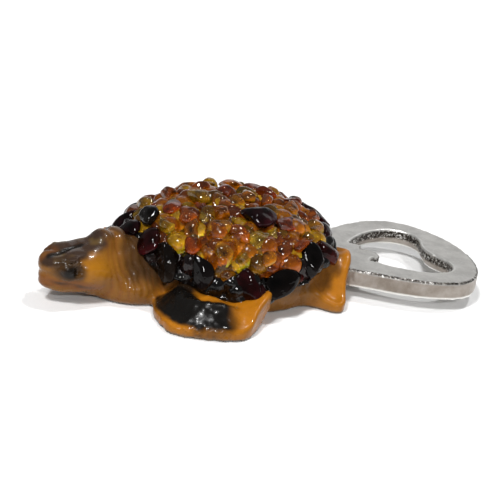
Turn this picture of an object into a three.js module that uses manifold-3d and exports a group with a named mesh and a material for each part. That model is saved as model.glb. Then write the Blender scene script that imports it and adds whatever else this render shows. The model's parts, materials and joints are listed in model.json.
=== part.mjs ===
// Souvenir bottle opener: a flat-backed sea turtle cast in polyresin, its shell covered with amber
// chips in clear epoxy, with a nickel-plated opener plate set in the tail and two magnets in the back.
// Millimetres. +X runs from the beak to the opener's nose, +Y is the turtle's right, +Z is up.
// The origin is on the flat back, under the middle of the overall length.
import * as THREE from "three";
import { mergeVertices } from "three/addons/utils/BufferGeometryUtils.js";
import Module from "manifold-3d";

const wasm = await Module();
wasm.setup();

// ---------- driving dimensions ----------
const LENGTH = 107; // beak to opener nose
const GAP = 0.3; // left between pieces that touch on the real object
const SWELL = 1.2; // size of a chip's socket in the casting, against the chip
const FAR = 60; // reach of the blocks that trim the casting and the epoxy

const PLATE = {
  thickness: 4.2,
  underside: 2.8, // height of the plate above the flat back
  noseRadius: 13.3, // from the widest point to the nose
  halfWidth: 19.75,
  neckHalfWidth: 10.3, // where the plate enters the casting
  neckBack: 22.5, // from the widest point back to that place
  tangHalfWidth: 8.5,
  tangTaper: 4, // length over which the neck narrows to the tang
  tangBack: 35, // from the widest point back to the hidden end of the tang
  chamfer: 0.4,
};
const RING_X = LENGTH / 2 - PLATE.noseRadius;
// Half of the plate's side between its neck and its widest point: the two handles of a curve.
const PLATE_FLANK = [
  [-14, 15.5],
  [-8, PLATE.halfWidth],
];

const FULCRUM = [3, 0]; // the bump opposite the tooth
const TOOTH_TIP = [-9.6, 0];
// Half of the mouth's outline from the fulcrum to the tooth: two handles and an end for each curve.
const MOUTH = [
  [[3, 3.6], [5.1, 5.2], [5.1, 8.2]], // out to the lobe
  [[5.1, 11.6], [2.6, 13.4], [-0.6, 13.4]], // round the lobe
  [[-5.6, 13.4], [-11, 9.6], [-14.6, 5.6]], // back to the root of the tooth
  [[-14, 3.4], [-9.6, 3.6], TOOTH_TIP], // along the tooth
];
const LIP = { radius: 4.4, step: 0.9 }; // stepped down round the tip of the tooth

// The dome that carries the shell: half its length and width, and its height above z.
const SHELL = { x: -7.6, z: 4.5, length: 23.2, width: 18.6, height: 12.9 };
const DOME_POWER = 2.3; // 2 is an ellipsoid, and more makes the top flatter and the sides steeper
const BED_THICKNESS = 1.1;
// The epoxy's lower edge: level along the sides, rising at an angle towards both ends.
const EDGE = { z: 4.2, rise: 18, front: -16, rear: -7 };

// Rows of chips from the rim to the top: degrees down from the top, half-width and height of a chip,
// and their colours from the tail round by the turtle's right side, then round by its left.
const ROWS = [
  {
    name: "rim",
    down: 81,
    reach: 4.9,
    height: 3.7,
    colours: [
      "cherry cherry cherry black cherry black black black cherry",
      "cherry cherry black black cherry black black cherry cherry",
    ],
  },
  {
    name: "side",
    down: 62.5,
    reach: 4.7,
    height: 3.6,
    colours: [
      "cognac honey honey lemon honey cognac lemon black",
      "lemon cognac honey honey cognac honey cognac",
    ],
  },
  {
    name: "shoulder",
    down: 45,
    reach: 4.5,
    height: 3.5,
    colours: ["cognac honey cognac lemon honey honey", "cognac honey honey lemon cognac honey"],
  },
  {
    name: "upper",
    down: 27,
    reach: 4.4,
    height: 3.4,
    colours: ["cognac honey honey", "lemon honey cherry honey"],
  },
  { name: "top", down: 9.5, reach: 4.2, height: 3.4, colours: ["honey cognac", "honey"] },
];
const SOCKETED = ["rim", "side"]; // rows that are low enough to sit in the casting as well
const RAISED = { front: 0.22, rear: 0.36 }; // how much nearer to the top a row is at each end
// How uneven the chips are, as shares of their spacing and size, with the tilt in degrees.
const UNEVEN = { turn: 0.3, tilt: 5, reach: 0.3, height: 0.25, oval: 0.22 };
const LEVELS = [0.05, 0.5, 0.95]; // heights at which a chip is kept clear of its neighbours
const SHRINK = 0.96; // how much it is narrowed at each try
const SMALLEST = { reach: 0.82, height: 0.75 }; // against the row's own reach and height

const BELLY = { length: 22, width: 15, height: 3.5 }; // half its length and width
const MAGNET = { radius: 7, thickness: 2.2, recess: 0.2, x: [-24, -6] };

const COLOURS = {
  resin: 0xb8741f,
  nickel: 0xb9b9b6,
  epoxy: 0xc8761a,
  ferrite: 0x2a2a2c,
  honey: 0xd2790f,
  cognac: 0x9c4310,
  lemon: 0xe0b020,
  cherry: 0x4a0f10,
  black: 0x140c0c,
};

// ---------- helpers ----------
const point = (x, y, z) => new THREE.Vector3(x, y, z);

function bare(geometry) {
  geometry.deleteAttribute("normal");
  geometry.deleteAttribute("uv");
  return mergeVertices(geometry, 1e-4);
}

function solid(geometry) {
  const closed = bare(geometry);
  return new wasm.Manifold(
    new wasm.Mesh({
      numProp: 3,
      vertProperties: new Float32Array(closed.attributes.position.array),
      triVerts: new Uint32Array(closed.index.array),
    }),
  );
}

function geometryOf(manifold) {
  const { numProp, numVert, vertProperties, triVerts } = manifold.getMesh();
  const position = new Float32Array(numVert * 3);
  for (let i = 0; i < numVert; i++) {
    position.set(vertProperties.subarray(i * numProp, i * numProp + 3), i * 3);
  }
  const geometry = new THREE.BufferGeometry();
  geometry.setAttribute("position", new THREE.BufferAttribute(position, 3));
  geometry.setIndex(new THREE.BufferAttribute(new Uint32Array(triVerts), 1));
  geometry.computeVertexNormals();
  return geometry;
}

const finishes = {
  resin: { roughness: 0.25, metalness: 0 },
  nickel: { roughness: 0.35, metalness: 1 },
  ferrite: { roughness: 0.6, metalness: 0.2 },
};

function mesh(name, geometry, colour) {
  const { roughness, metalness } = finishes[colour] ?? { roughness: 0.12, metalness: 0 };
  const material = new THREE.MeshStandardMaterial({ color: COLOURS[colour], roughness, metalness });
  const made = new THREE.Mesh(geometry, material);
  made.name = name;
  return made;
}

// A repeatable number from 0 to 1 for each whole number and salt.
function scatter(index, salt) {
  const value = Math.sin(index * 127.1 + salt * 311.7) * 43758.5453;
  return value - Math.floor(value);
}

// An ellipsoid turned about its own long axis by roll and then about Z by yaw, in degrees.
function blob({ at, size, yaw = 0, roll = 0 }) {
  const geometry = new THREE.SphereGeometry(1, 18, 10);
  geometry.scale(...size);
  geometry.rotateX(THREE.MathUtils.degToRad(roll));
  geometry.rotateZ(THREE.MathUtils.degToRad(yaw));
  geometry.translate(...at);
  return solid(geometry);
}

const mirrored = (spec) => ({
  ...spec,
  at: [spec.at[0], -spec.at[1], spec.at[2]],
  yaw: -(spec.yaw ?? 0),
  roll: -(spec.roll ?? 0),
});

const join = (solids) => solids.reduce((sum, next) => sum.add(next));

function block(low, high) {
  const geometry = new THREE.BoxGeometry(high[0] - low[0], high[1] - low[1], high[2] - low[2]);
  geometry.translate((low[0] + high[0]) / 2, (low[1] + high[1]) / 2, (low[2] + high[2]) / 2);
  return solid(geometry);
}

const belowFloor = () => block([-FAR, -FAR, -FAR], [FAR, FAR, 0]);

// ---------- opener plate ----------
// Ring and tang in plan, with its widest point at the origin, grown by a clearance.
function plateShape(grow = 0) {
  const { halfWidth, noseRadius, neckHalfWidth, neckBack, tangHalfWidth, tangBack, tangTaper } = PLATE;
  const [neckHandle, ringHandle] = PLATE_FLANK;
  const neck = neckHalfWidth + grow;
  const ring = halfWidth + grow;
  const tang = tangHalfWidth + grow;
  const end = -tangBack - grow;
  const shape = new THREE.Shape();
  shape.moveTo(end, -tang);
  shape.lineTo(-neckBack - tangTaper, -tang);
  shape.lineTo(-neckBack, -neck);
  shape.bezierCurveTo(neckHandle[0], -neckHandle[1], ringHandle[0], -ring, 0, -ring);
  shape.absellipse(0, 0, noseRadius + grow, ring, -Math.PI / 2, Math.PI / 2, false);
  shape.bezierCurveTo(ringHandle[0], ring, ...neckHandle, -neckBack, neck);
  shape.lineTo(-neckBack - tangTaper, tang);
  shape.lineTo(end, tang);
  shape.closePath();
  return shape;
}

// The kidney-shaped mouth: two lobes either side of the fulcrum, and the tooth on the tang's side.
function mouthPath() {
  const path = new THREE.Path();
  path.moveTo(...FULCRUM);
  const mirror = ([x, y]) => [x, -y];
  const otherHalf = [];
  let from = FULCRUM;
  for (const [first, second, end] of MOUTH) {
    path.bezierCurveTo(...first, ...second, ...end);
    otherHalf.unshift([mirror(second), mirror(first), mirror(from)]);
    from = end;
  }
  for (const [first, second, end] of otherHalf) {
    path.bezierCurveTo(...first, ...second, ...end);
  }
  return path;
}

function openerPlate() {
  const { thickness, underside, chamfer } = PLATE;
  const shape = plateShape(-chamfer);
  shape.holes.push(mouthPath());
  const geometry = new THREE.ExtrudeGeometry(shape, {
    depth: thickness - 2 * chamfer,
    bevelSize: chamfer,
    bevelThickness: chamfer,
    bevelSegments: 1,
    curveSegments: 9,
  });
  geometry.translate(RING_X, 0, underside + chamfer);
  const lip = new THREE.CylinderGeometry(LIP.radius, LIP.radius, 2 * LIP.step, 28);
  lip.rotateX(Math.PI / 2);
  lip.translate(RING_X + TOOTH_TIP[0], 0, underside + thickness);
  return geometryOf(solid(geometry).subtract(solid(lip)));
}

// The pocket that the tang is cast into.
function tangPocket() {
  const { thickness, underside } = PLATE;
  const geometry = new THREE.ExtrudeGeometry(plateShape(GAP), {
    depth: thickness + 2 * GAP,
    bevelEnabled: false,
    curveSegments: 9,
  });
  geometry.translate(RING_X, 0, underside - GAP);
  return solid(geometry);
}

// ---------- casting ----------
const LIMBS = {
  neckRoot: { at: [-29.5, -1, 3.8], size: [9, 12, 7.6] },
  neck: { at: [-35.5, -3.4, 4.6], size: [8.2, 8.8, 7.6] },
  head: { at: [-42.8, -6.4, 6.4], size: [7.6, 6.9, 6.2], yaw: 20 },
  snout: { at: [-49.3, -8.4, 5.8], size: [4.1, 4.3, 3.8], yaw: 20 },
  shoulder: { at: [-26, -14, 2.8], size: [8, 8.5, 5.2], yaw: 12 },
  paddle: { at: [-20.7, -22.5, 1.2], size: [12, 9.6, 4.4], yaw: -10, roll: 14 },
  paddleTip: { at: [-11, -21.5, 3], size: [8.6, 4.8, 3.2], yaw: 30 },
  hip: { at: [4, -10.5, 2.6], size: [9.5, 7.6, 7.6], yaw: -20 },
  hindPaddle: { at: [10.6, -12.5, 2.2], size: [6.6, 7.2, 6.8], yaw: -30 },
  tail: { at: [12, 0, 4.4], size: [8.8, 13, 7.2] },
};
const PAIRED = ["shoulder", "paddle", "paddleTip", "hip", "hindPaddle"];

function limbSpecs() {
  const pairs = PAIRED.map((name) => mirrored(LIMBS[name]));
  return [...Object.values(LIMBS), ...pairs];
}

// How far out v lies from the dome's centre, where 1 is on a dome of that size.
function domeReach(v, size) {
  const flat = Math.hypot(v.x / size.x, v.y / size.y);
  const up = Math.abs(v.z / size.z);
  return (flat ** DOME_POWER + up ** DOME_POWER) ** (1 / DOME_POWER);
}

const domeCentre = point(SHELL.x, 0, SHELL.z);
const domeSize = (grow) => point(SHELL.length, SHELL.width, SHELL.height).addScalar(grow);

function dome(grow) {
  const geometry = new THREE.SphereGeometry(1, 36, 20);
  geometry.rotateX(Math.PI / 2);
  const size = domeSize(grow);
  const position = geometry.attributes.position;
  const v = point(0, 0, 0);
  for (let i = 0; i < position.count; i++) {
    v.fromBufferAttribute(position, i).multiply(size);
    v.divideScalar(domeReach(v, size)).add(domeCentre);
    position.setXYZ(i, v.x, v.y, v.z);
  }
  return solid(geometry);
}

// Everything above the epoxy's lower edge, or above a line that far below it.
function aboveEdge(drop = 0) {
  const start = EDGE.z - drop;
  let space = block([-FAR, -FAR, start], [FAR, FAR, FAR]);
  for (const [way, x] of [[1, EDGE.rear], [-1, EDGE.front]]) {
    const ramp = new THREE.BoxGeometry(2 * FAR, 2 * FAR, FAR);
    ramp.translate(way * FAR, 0, -FAR / 2);
    ramp.rotateY(-way * THREE.MathUtils.degToRad(EDGE.rise));
    ramp.translate(x, 0, start);
    space = space.subtract(solid(ramp));
  }
  return space;
}

// The space that the epoxy fills.
const bedSpace = () => dome(BED_THICKNESS + GAP).intersect(aboveEdge(GAP));

function belly() {
  const geometry = new THREE.CylinderGeometry(1, 1, BELLY.height, 40);
  geometry.rotateX(Math.PI / 2);
  geometry.scale(BELLY.length, BELLY.width, 1);
  geometry.translate(SHELL.x, 0, BELLY.height / 2);
  return solid(geometry);
}

function magnetGeometry(x, grow) {
  const { radius, thickness, recess } = MAGNET;
  const geometry = new THREE.CylinderGeometry(radius + grow, radius + grow, thickness + 2 * grow, 32);
  geometry.rotateX(Math.PI / 2);
  geometry.translate(x, 0, recess + thickness / 2);
  return geometry;
}

function casting(sockets) {
  const limbs = join(limbSpecs().map((spec) => blob(spec))).subtract(bedSpace());
  let body = dome(0).add(belly()).add(limbs).subtract(belowFloor());
  body = body.subtract(join(sockets));
  body = body.subtract(tangPocket());
  for (const x of MAGNET.x) {
    body = body.subtract(solid(magnetGeometry(x, GAP)));
  }
  return body;
}

// ---------- epoxy bed and amber chips ----------
const epoxyBed = () => dome(BED_THICKNESS).subtract(dome(GAP)).intersect(aboveEdge());

const bedSize = domeSize(BED_THICKNESS);

// The point of the bed's surface at an angle from the top and an angle round from the tail.
function onBed(down, round) {
  const direction = point(
    Math.sin(down) * Math.cos(round),
    Math.sin(down) * Math.sin(round),
    Math.cos(down),
  ).multiply(bedSize);
  return direction.divideScalar(domeReach(direction, bedSize)).add(domeCentre);
}

function bedNormal(p) {
  const v = p.clone().sub(domeCentre).divide(bedSize);
  const flat = Math.max(Math.hypot(v.x, v.y), 1e-6);
  const pull = flat ** (DOME_POWER - 2);
  const up = Math.sign(v.z) * Math.abs(v.z) ** (DOME_POWER - 1);
  return point((v.x * pull) / bedSize.x, (v.y * pull) / bedSize.y, up / bedSize.z).normalize();
}

// The bed point next to p, seen from the middle of the shell.
function dropToBed(p) {
  const offset = p.clone().sub(domeCentre);
  return offset.divideScalar(domeReach(offset, bedSize)).add(domeCentre);
}

// The rows' chips, each row turned half a chip against the one below it and a little uneven.
function chipSeeds() {
  const seeds = [];
  ROWS.forEach(({ name, down, reach, height, colours }, row) => {
    const list = colours.join(" ").split(" ");
    const step = 360 / list.length;
    const start = (row % 2) * (step / 2);
    list.forEach((colour, k) => {
      const index = seeds.length;
      const turn = start + step * (k + UNEVEN.turn * (scatter(index, 1) - 0.5));
      const round = THREE.MathUtils.degToRad(turn);
      const raised = Math.abs(Math.cos(round)) * (Math.cos(round) > 0 ? RAISED.rear : RAISED.front);
      const uneven = UNEVEN.tilt * (scatter(index, 2) - 0.5);
      const p = onBed(THREE.MathUtils.degToRad(down * (1 - raised) + uneven), round);
      seeds.push({ p, reach, height, colour, row: name, number: k + 1, index });
    });
  });
  return seeds;
}

// A pebble that fills its own cell between its neighbours, never crossing the plane halfway to one.
function chipGeometry(seed, others) {
  const { p, reach, height, index } = seed;
  const normal = bedNormal(p);
  const along = point(0, 0, 1).cross(normal).normalize();
  if (along.lengthSq() < 0.5) along.set(1, 0, 0);
  const across = normal.clone().cross(along);
  const neighbours = others
    .filter((other) => other !== seed && other.p.distanceTo(p) < 4 * reach)
    .map((other) => ({ way: other.p.clone().sub(p).normalize(), half: other.p.distanceTo(p) / 2 }));
  const tall = height * (SMALLEST.height + UNEVEN.height * scatter(index, 3));
  const place = (angle, radius, level) => {
    const q = p.clone();
    q.addScaledVector(along, radius * Math.cos(angle));
    q.addScaledVector(across, radius * Math.sin(angle));
    const foot = dropToBed(q);
    return foot.addScaledVector(bedNormal(foot), GAP + tall * level);
  };
  const clear = (q) =>
    neighbours.every(({ way, half }) => q.clone().sub(p).dot(way) < half - GAP / 2);
  const longest = reach * (SMALLEST.reach + UNEVEN.reach * scatter(index, 5));
  const radiusAt = (angle) => {
    const oval = 1 - UNEVEN.oval * Math.cos(2 * (angle - Math.PI * scatter(index, 7)));
    let radius = Math.min(longest * oval, longest);
    while (!LEVELS.every((level) => clear(place(angle, radius, level)))) {
      radius *= SHRINK;
    }
    return radius;
  };
  const geometry = bare(new THREE.SphereGeometry(1, 9, 5));
  const position = geometry.attributes.position;
  for (let i = 0; i < position.count; i++) {
    // SphereGeometry's poles are on Y
    const [x, h, y] = [position.getX(i), position.getY(i), -position.getZ(i)];
    const angle = Math.atan2(y, x);
    const flat = Math.hypot(x, y);
    const q = place(angle, flat < 1e-6 ? 0 : flat * radiusAt(angle), (h + 1) / 2);
    position.setXYZ(i, q.x, q.y, q.z);
  }
  return geometry;
}

// The hollow a low chip sits in: the chip swollen about its middle.
function socket(seed, others) {
  const geometry = chipGeometry(seed, others);
  geometry.computeBoundingBox();
  const middle = geometry.boundingBox.getCenter(point(0, 0, 0));
  geometry.translate(-middle.x, -middle.y, -middle.z);
  geometry.scale(SWELL, SWELL, SWELL);
  geometry.translate(middle.x, middle.y, middle.z);
  return solid(geometry);
}

const seeds = chipSeeds();
const sockets = seeds.filter(({ row }) => SOCKETED.includes(row)).map((seed) => socket(seed, seeds));

const model = new THREE.Group();
model.add(mesh("resin_casting", geometryOf(casting(sockets)), "resin"));
model.add(mesh("opener_plate", openerPlate(), "nickel"));
model.add(mesh("epoxy_bed", geometryOf(epoxyBed()), "epoxy"));
MAGNET.x.forEach((x, k) => {
  model.add(mesh(["front_magnet", "rear_magnet"][k], bare(magnetGeometry(x, 0)), "ferrite"));
});
for (const seed of seeds) {
  const name = `${seed.row}_chip_${String(seed.number).padStart(2, "0")}`;
  model.add(mesh(name, chipGeometry(seed, seeds), seed.colour));
}

export default model;
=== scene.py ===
import itertools
import json
import math

import bpy
import numpy as np
from mathutils import Matrix, Vector


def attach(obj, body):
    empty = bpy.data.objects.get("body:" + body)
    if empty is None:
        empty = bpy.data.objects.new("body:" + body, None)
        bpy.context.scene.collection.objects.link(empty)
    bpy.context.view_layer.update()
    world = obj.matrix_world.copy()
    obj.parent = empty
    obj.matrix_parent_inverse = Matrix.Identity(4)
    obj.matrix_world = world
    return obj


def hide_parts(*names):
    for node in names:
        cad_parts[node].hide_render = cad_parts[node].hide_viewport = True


# Sea turtle bottle opener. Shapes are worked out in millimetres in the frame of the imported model:
# +X from the beak to the opener's nose, +Y the turtle's right, +Z up from the flat back.
# The casting, the plate and the epoxy are sculpted as distance fields, where a value under 0 is
# inside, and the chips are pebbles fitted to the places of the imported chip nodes.

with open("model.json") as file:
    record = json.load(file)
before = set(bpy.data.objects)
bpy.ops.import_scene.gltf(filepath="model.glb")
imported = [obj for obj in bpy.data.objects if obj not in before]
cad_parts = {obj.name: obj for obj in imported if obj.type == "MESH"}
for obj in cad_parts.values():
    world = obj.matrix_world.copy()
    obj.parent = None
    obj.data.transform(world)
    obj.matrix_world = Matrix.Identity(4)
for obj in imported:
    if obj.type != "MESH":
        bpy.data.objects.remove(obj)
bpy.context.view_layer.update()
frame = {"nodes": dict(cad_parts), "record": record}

MM = 0.001
RNG = np.random.default_rng(7)

# ---------- camera and studio ----------
CAMERA_RIGHT = (0.91577, -0.37461, 0.14504)
CAMERA_UP = (0.00758, 0.37712, 0.92613)
CAMERA_MM = (-128.2, -265.7, 116.6)
LENS = 100.8
SENSOR = 36
NEAREST = 0.01
WORLD_LIGHT = 0.2
SUNS = [  # name, where it shines from, strength, spread in degrees
    ("window", (-0.5, -0.35, 0.9), 1.6, 8),
    ("ceiling", (0.35, 0.1, 1.0), 1.1, 5),
    ("fill", (-0.1, -0.9, 0.55), 1.0, 4),
]
PANELS = [  # name, place and size in metres, watts
    ("panel", (-0.3, -0.25, 0.5), (0.1, 0.16), 0.8),
    ("back_wall", (0.54, 0.8, 0.34), (1.2, 0.6), 1.2),
]
FLOOR_HALF = 1.5
FLOOR_DROP = 0.0001  # keeps the floor clear of the flat back
FLOOR_TONE = 0.93


def srgb(r, g, b):
    """A colour given in 0 to 255 as linear light."""
    values = np.array([r, g, b], float) / 255
    return np.where(values <= 0.04045, values / 12.92, ((values + 0.055) / 1.055) ** 2.4)


def add_to_scene(thing):
    bpy.context.scene.collection.objects.link(thing)


def add_camera():
    camera = bpy.data.objects.new("camera", bpy.data.cameras.new("camera"))
    camera.data.lens = LENS
    camera.data.sensor_width = SENSOR
    camera.data.clip_start = NEAREST
    right = Vector(CAMERA_RIGHT)
    back = right.cross(Vector(CAMERA_UP)).normalized()
    up = back.cross(right.normalized())
    turn = Matrix((right.normalized(), up, back)).transposed()
    camera.matrix_world = Matrix.Translation(Vector(CAMERA_MM) * MM) @ turn.to_4x4()
    add_to_scene(camera)
    bpy.context.scene.camera = camera


def add_panel(name, place, size, watts):
    """A soft rectangular lamp that faces the model."""
    data = bpy.data.lights.new(name, "AREA")
    data.shape = "RECTANGLE"
    data.size, data.size_y = size
    data.energy = watts
    lamp = bpy.data.objects.new(name, data)
    lamp.location = place
    lamp.rotation_euler = (-Vector(place)).to_track_quat("-Z", "Y").to_euler()
    add_to_scene(lamp)


def add_sun(name, source, strength, spread):
    """A far lamp that shines from the direction of source and lights the whole floor evenly."""
    data = bpy.data.lights.new(name, "SUN")
    data.energy = strength
    data.angle = math.radians(spread)
    lamp = bpy.data.objects.new(name, data)
    lamp.rotation_euler = (-Vector(source)).to_track_quat("-Z", "Y").to_euler()
    add_to_scene(lamp)


def add_studio():
    world = bpy.data.worlds.new("studio")
    world.use_nodes = True
    background = world.node_tree.nodes["Background"]
    background.inputs["Color"].default_value = (1, 1, 1, 1)
    background.inputs["Strength"].default_value = WORLD_LIGHT
    bpy.context.scene.world = world
    for sun in SUNS:
        add_sun(*sun)
    for panel in PANELS:
        add_panel(*panel)


def add_floor():
    mesh = bpy.data.meshes.new("floor")
    corners = [(a * FLOOR_HALF, b * FLOOR_HALF, 0) for a, b in ((-1, -1), (1, -1), (1, 1), (-1, 1))]
    mesh.from_pydata(corners, [], [(0, 1, 2, 3)])
    floor = bpy.data.objects.new("floor", mesh)
    floor.location.z = -FLOOR_DROP
    add_to_scene(floor)
    material = bpy.data.materials.new("floor")
    material.use_nodes = True
    shader = material.node_tree.nodes["Principled BSDF"]
    shader.inputs["Base Color"].default_value = (FLOOR_TONE, FLOOR_TONE, FLOOR_TONE, 1)
    shader.inputs["Roughness"].default_value = 0.9
    mesh.materials.append(material)


# ---------- numbers on grids ----------
LATTICE = np.random.default_rng(3).uniform(-1, 1, (32, 32, 32)).astype(np.float32)


def noise(x, y, z, size, seed):
    """Smooth noise from -1 to 1 whose lumps are about size mm across."""
    parts = []
    for value, shift in ((x, 17.3), (y, 31.7), (z, 47.1)):
        scaled = np.asarray(value, np.float32) / size + shift * (seed + 1)
        whole = np.floor(scaled)
        part = scaled - whole
        parts.append((whole.astype(np.int32) & 31, part * part * (3 - 2 * part)))
    (i, u), (j, v), (k, w) = parts
    i2, j2, k2 = (i + 1) & 31, (j + 1) & 31, (k + 1) & 31
    low = (LATTICE[i, j, k] * (1 - u) + LATTICE[i2, j, k] * u) * (1 - v)
    low += (LATTICE[i, j2, k] * (1 - u) + LATTICE[i2, j2, k] * u) * v
    high = (LATTICE[i, j, k2] * (1 - u) + LATTICE[i2, j, k2] * u) * (1 - v)
    high += (LATTICE[i, j2, k2] * (1 - u) + LATTICE[i2, j2, k2] * u) * v
    return low * (1 - w) + high * w


def step(low, high, value):
    """Rises smoothly from 0 at low to 1 at high, or falls if low is the greater."""
    part = np.clip((value - low) / (high - low), 0, 1)
    return part * part * (3 - 2 * part)


def merge(a, b, soft):
    """Union of two fields with a fillet."""
    share = np.clip(0.5 + 0.5 * (b - a) / soft, 0, 1)
    return b * (1 - share) + a * share - soft * share * (1 - share)


def cut(a, b, soft):
    """Field a without field b, with a softened edge."""
    return -merge(-a, b, soft)


def ellipsoid(p, centre, size):
    """An ellipsoid by its centre and half sizes."""
    q = [(p[n] - centre[n]) for n in range(3)]
    near = np.sqrt(sum((q[n] / size[n]) ** 2 for n in range(3)))
    slope = np.sqrt(sum((q[n] / size[n] ** 2) ** 2 for n in range(3)))
    return near * (near - 1) / np.maximum(slope, 1e-4)


def rod(p, start, end, radius_start, radius_end):
    """A rod with round ends, whose radius changes from one end to the other."""
    way = np.subtract(end, start)
    along = sum((p[n] - start[n]) * way[n] for n in range(3)) / np.dot(way, way)
    along = np.clip(along, 0, 1)
    off = np.sqrt(sum((p[n] - start[n] - way[n] * along) ** 2 for n in range(3)))
    return off - (radius_start + (radius_end - radius_start) * along)


def chain(p, points, radius):
    """Rods of one radius from point to point."""
    rods = [rod(p, start, end, radius, radius) for start, end in zip(points, points[1:])]
    return np.minimum.reduce(rods)


def outline_field(points, x, y):
    """Distance to a closed outline, negative inside."""
    points = np.asarray(points, float)
    best = np.full(x.shape, 1e9)
    inside = np.zeros(x.shape, bool)
    for (ax, ay), (bx, by) in zip(points, np.roll(points, -1, 0)):
        ex, ey = bx - ax, by - ay
        along = np.clip(((x - ax) * ex + (y - ay) * ey) / max(ex * ex + ey * ey, 1e-9), 0, 1)
        best = np.minimum(best, (x - ax - ex * along) ** 2 + (y - ay - ey * along) ** 2)
        crosses = (ay > y) != (by > y)
        with np.errstate(divide="ignore", invalid="ignore"):
            inside ^= crosses & (x < ex * (y - ay) / (by - ay if by != ay else 1e-9) + ax)
    return np.where(inside, -1, 1) * np.sqrt(best)


def curve_through(points, count):
    """A smooth closed curve through the points, with count steps between neighbours."""
    points = np.asarray(points, float)
    before, after, beyond = np.roll(points, 1, 0), np.roll(points, -1, 0), np.roll(points, -2, 0)
    rows = []
    for t in np.linspace(0, 1, count, endpoint=False):
        rows.append(
            0.5 * (2 * points + (after - before) * t
                   + (2 * before - 5 * points + 4 * after - beyond) * t ** 2
                   + (3 * points - before - 3 * after + beyond) * t ** 3)
        )
    return np.stack(rows, 1).reshape(-1, 2)


def outline_on(p, outline):
    """Distance to an outline for points on a grid, worked out once for each column of it."""
    flat = outline_field(outline, p[0][:, :, 0].astype(float), p[1][:, :, 0].astype(float))
    return flat[:, :, None].astype(np.float32)


def as_grid(x, y, z):
    """A list of points as a grid one point wide, for outline_on."""
    return x[:, None, None], y[:, None, None], z[:, None, None]


def slab(side, rise, edge):
    """What is inside both of two fields, with a round of radius edge where they meet."""
    a, b = side + edge, rise + edge
    corner = np.hypot(np.maximum(a, 0), np.maximum(b, 0))
    return np.minimum(np.maximum(a, b), 0) + corner - edge


def grid(low, high, pitch):
    axes = [np.arange(low[n], high[n] + pitch, pitch, dtype=np.float32) for n in range(3)]
    return np.meshgrid(*axes, indexing="ij")


def cell_points(field):
    """In each cell that the surface crosses, the mean of the crossings on its edges, and its number."""
    cells = tuple(n - 1 for n in field.shape)
    total = np.zeros(cells + (3,), np.float32)
    count = np.zeros(cells, np.float32)
    negative = field < 0
    for axis, da, db in itertools.product(range(3), (0, 1), (0, 1)):
        others = [n for n in range(3) if n != axis]
        near = [slice(0, cells[n]) for n in range(3)]
        near[others[0]] = slice(da, da + cells[others[0]])
        near[others[1]] = slice(db, db + cells[others[1]])
        far = list(near)
        far[axis] = slice(1, cells[axis] + 1)
        near, far = tuple(near), tuple(far)
        hit = negative[near] != negative[far]
        a, b = field[near][hit], field[far][hit]
        place = np.argwhere(hit).astype(np.float32)
        place[:, axis] += a / (a - b)
        place[:, others[0]] += da
        place[:, others[1]] += db
        total[hit] += place
        count[hit] += 1
    used = count > 0
    index = np.full(cells, -1, np.int32)
    index[used] = np.arange(used.sum())
    return total[used] / count[used][:, None], index


def edge_quads(negative, index, axis):
    """A quad round each edge along an axis that the surface crosses, facing outwards."""
    b, c = (axis + 1) % 3, (axis + 2) % 3
    near = [slice(1, -1)] * 3
    near[axis] = slice(0, -1)
    far = list(near)
    far[axis] = slice(1, None)
    starts = negative[tuple(near)]
    hit = starts != negative[tuple(far)]
    place = np.argwhere(hit)
    for n in (b, c):
        place[:, n] += 1
    corners = []
    for db, dc in ((-1, -1), (0, -1), (0, 0), (-1, 0)):
        corner = place.copy()
        corner[:, b] += db
        corner[:, c] += dc
        corners.append(index[tuple(corner.T)])
    corners = np.stack(corners, 1)
    flip = ~starts[hit]
    corners[flip] = corners[flip][:, ::-1]
    return corners


def skin(field, low, pitch):
    """The zero surface of a field as points and quads, with one point in each cell it crosses."""
    points, index = cell_points(field)
    quads = [edge_quads(field < 0, index, axis) for axis in range(3)]
    return points * pitch + np.asarray(low), np.concatenate(quads)


QUAD_LINKS = [(a, b % 4) for a in range(4) for b in (a + 1, a - 1)]
TRIANGLE_LINKS = [(0, 1), (1, 2), (2, 0)]


def relax(points, faces, links, rounds, share):
    """Moves each vertex part of the way to the middle of its neighbours, which are linked in the faces."""
    for _ in range(rounds):
        total = np.zeros_like(points)
        count = np.zeros(len(points))
        for a, b in links:
            np.add.at(total, faces[:, a], points[faces[:, b]])
            np.add.at(count, faces[:, a], 1)
        points = points * (1 - share) + total / np.maximum(count, 1)[:, None] * share
    return points


def new_piece(name, points, faces, slot, replaced, attributes):
    """A mesh piece, from points in millimetres, in the material of its slot, on the only body."""
    mesh = bpy.data.meshes.new(name)
    mesh.from_pydata((np.asarray(points) * MM).tolist(), [], np.asarray(faces).tolist())
    mesh.polygons.foreach_set("use_smooth", np.ones(len(mesh.polygons), bool))
    for key, values in attributes.items():
        layer = mesh.attributes.new(key, "FLOAT_COLOR", "POINT")
        rgba = np.ones((len(points), 4), np.float32)
        rgba[:, :3] = values
        layer.data.foreach_set("color", rgba.ravel())
    mesh.materials.append(MATERIALS[slot])
    mesh.update()
    piece = bpy.data.objects.new(name, mesh)
    add_to_scene(piece)
    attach(piece, "root")
    if replaced:
        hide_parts(*replaced)


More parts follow.
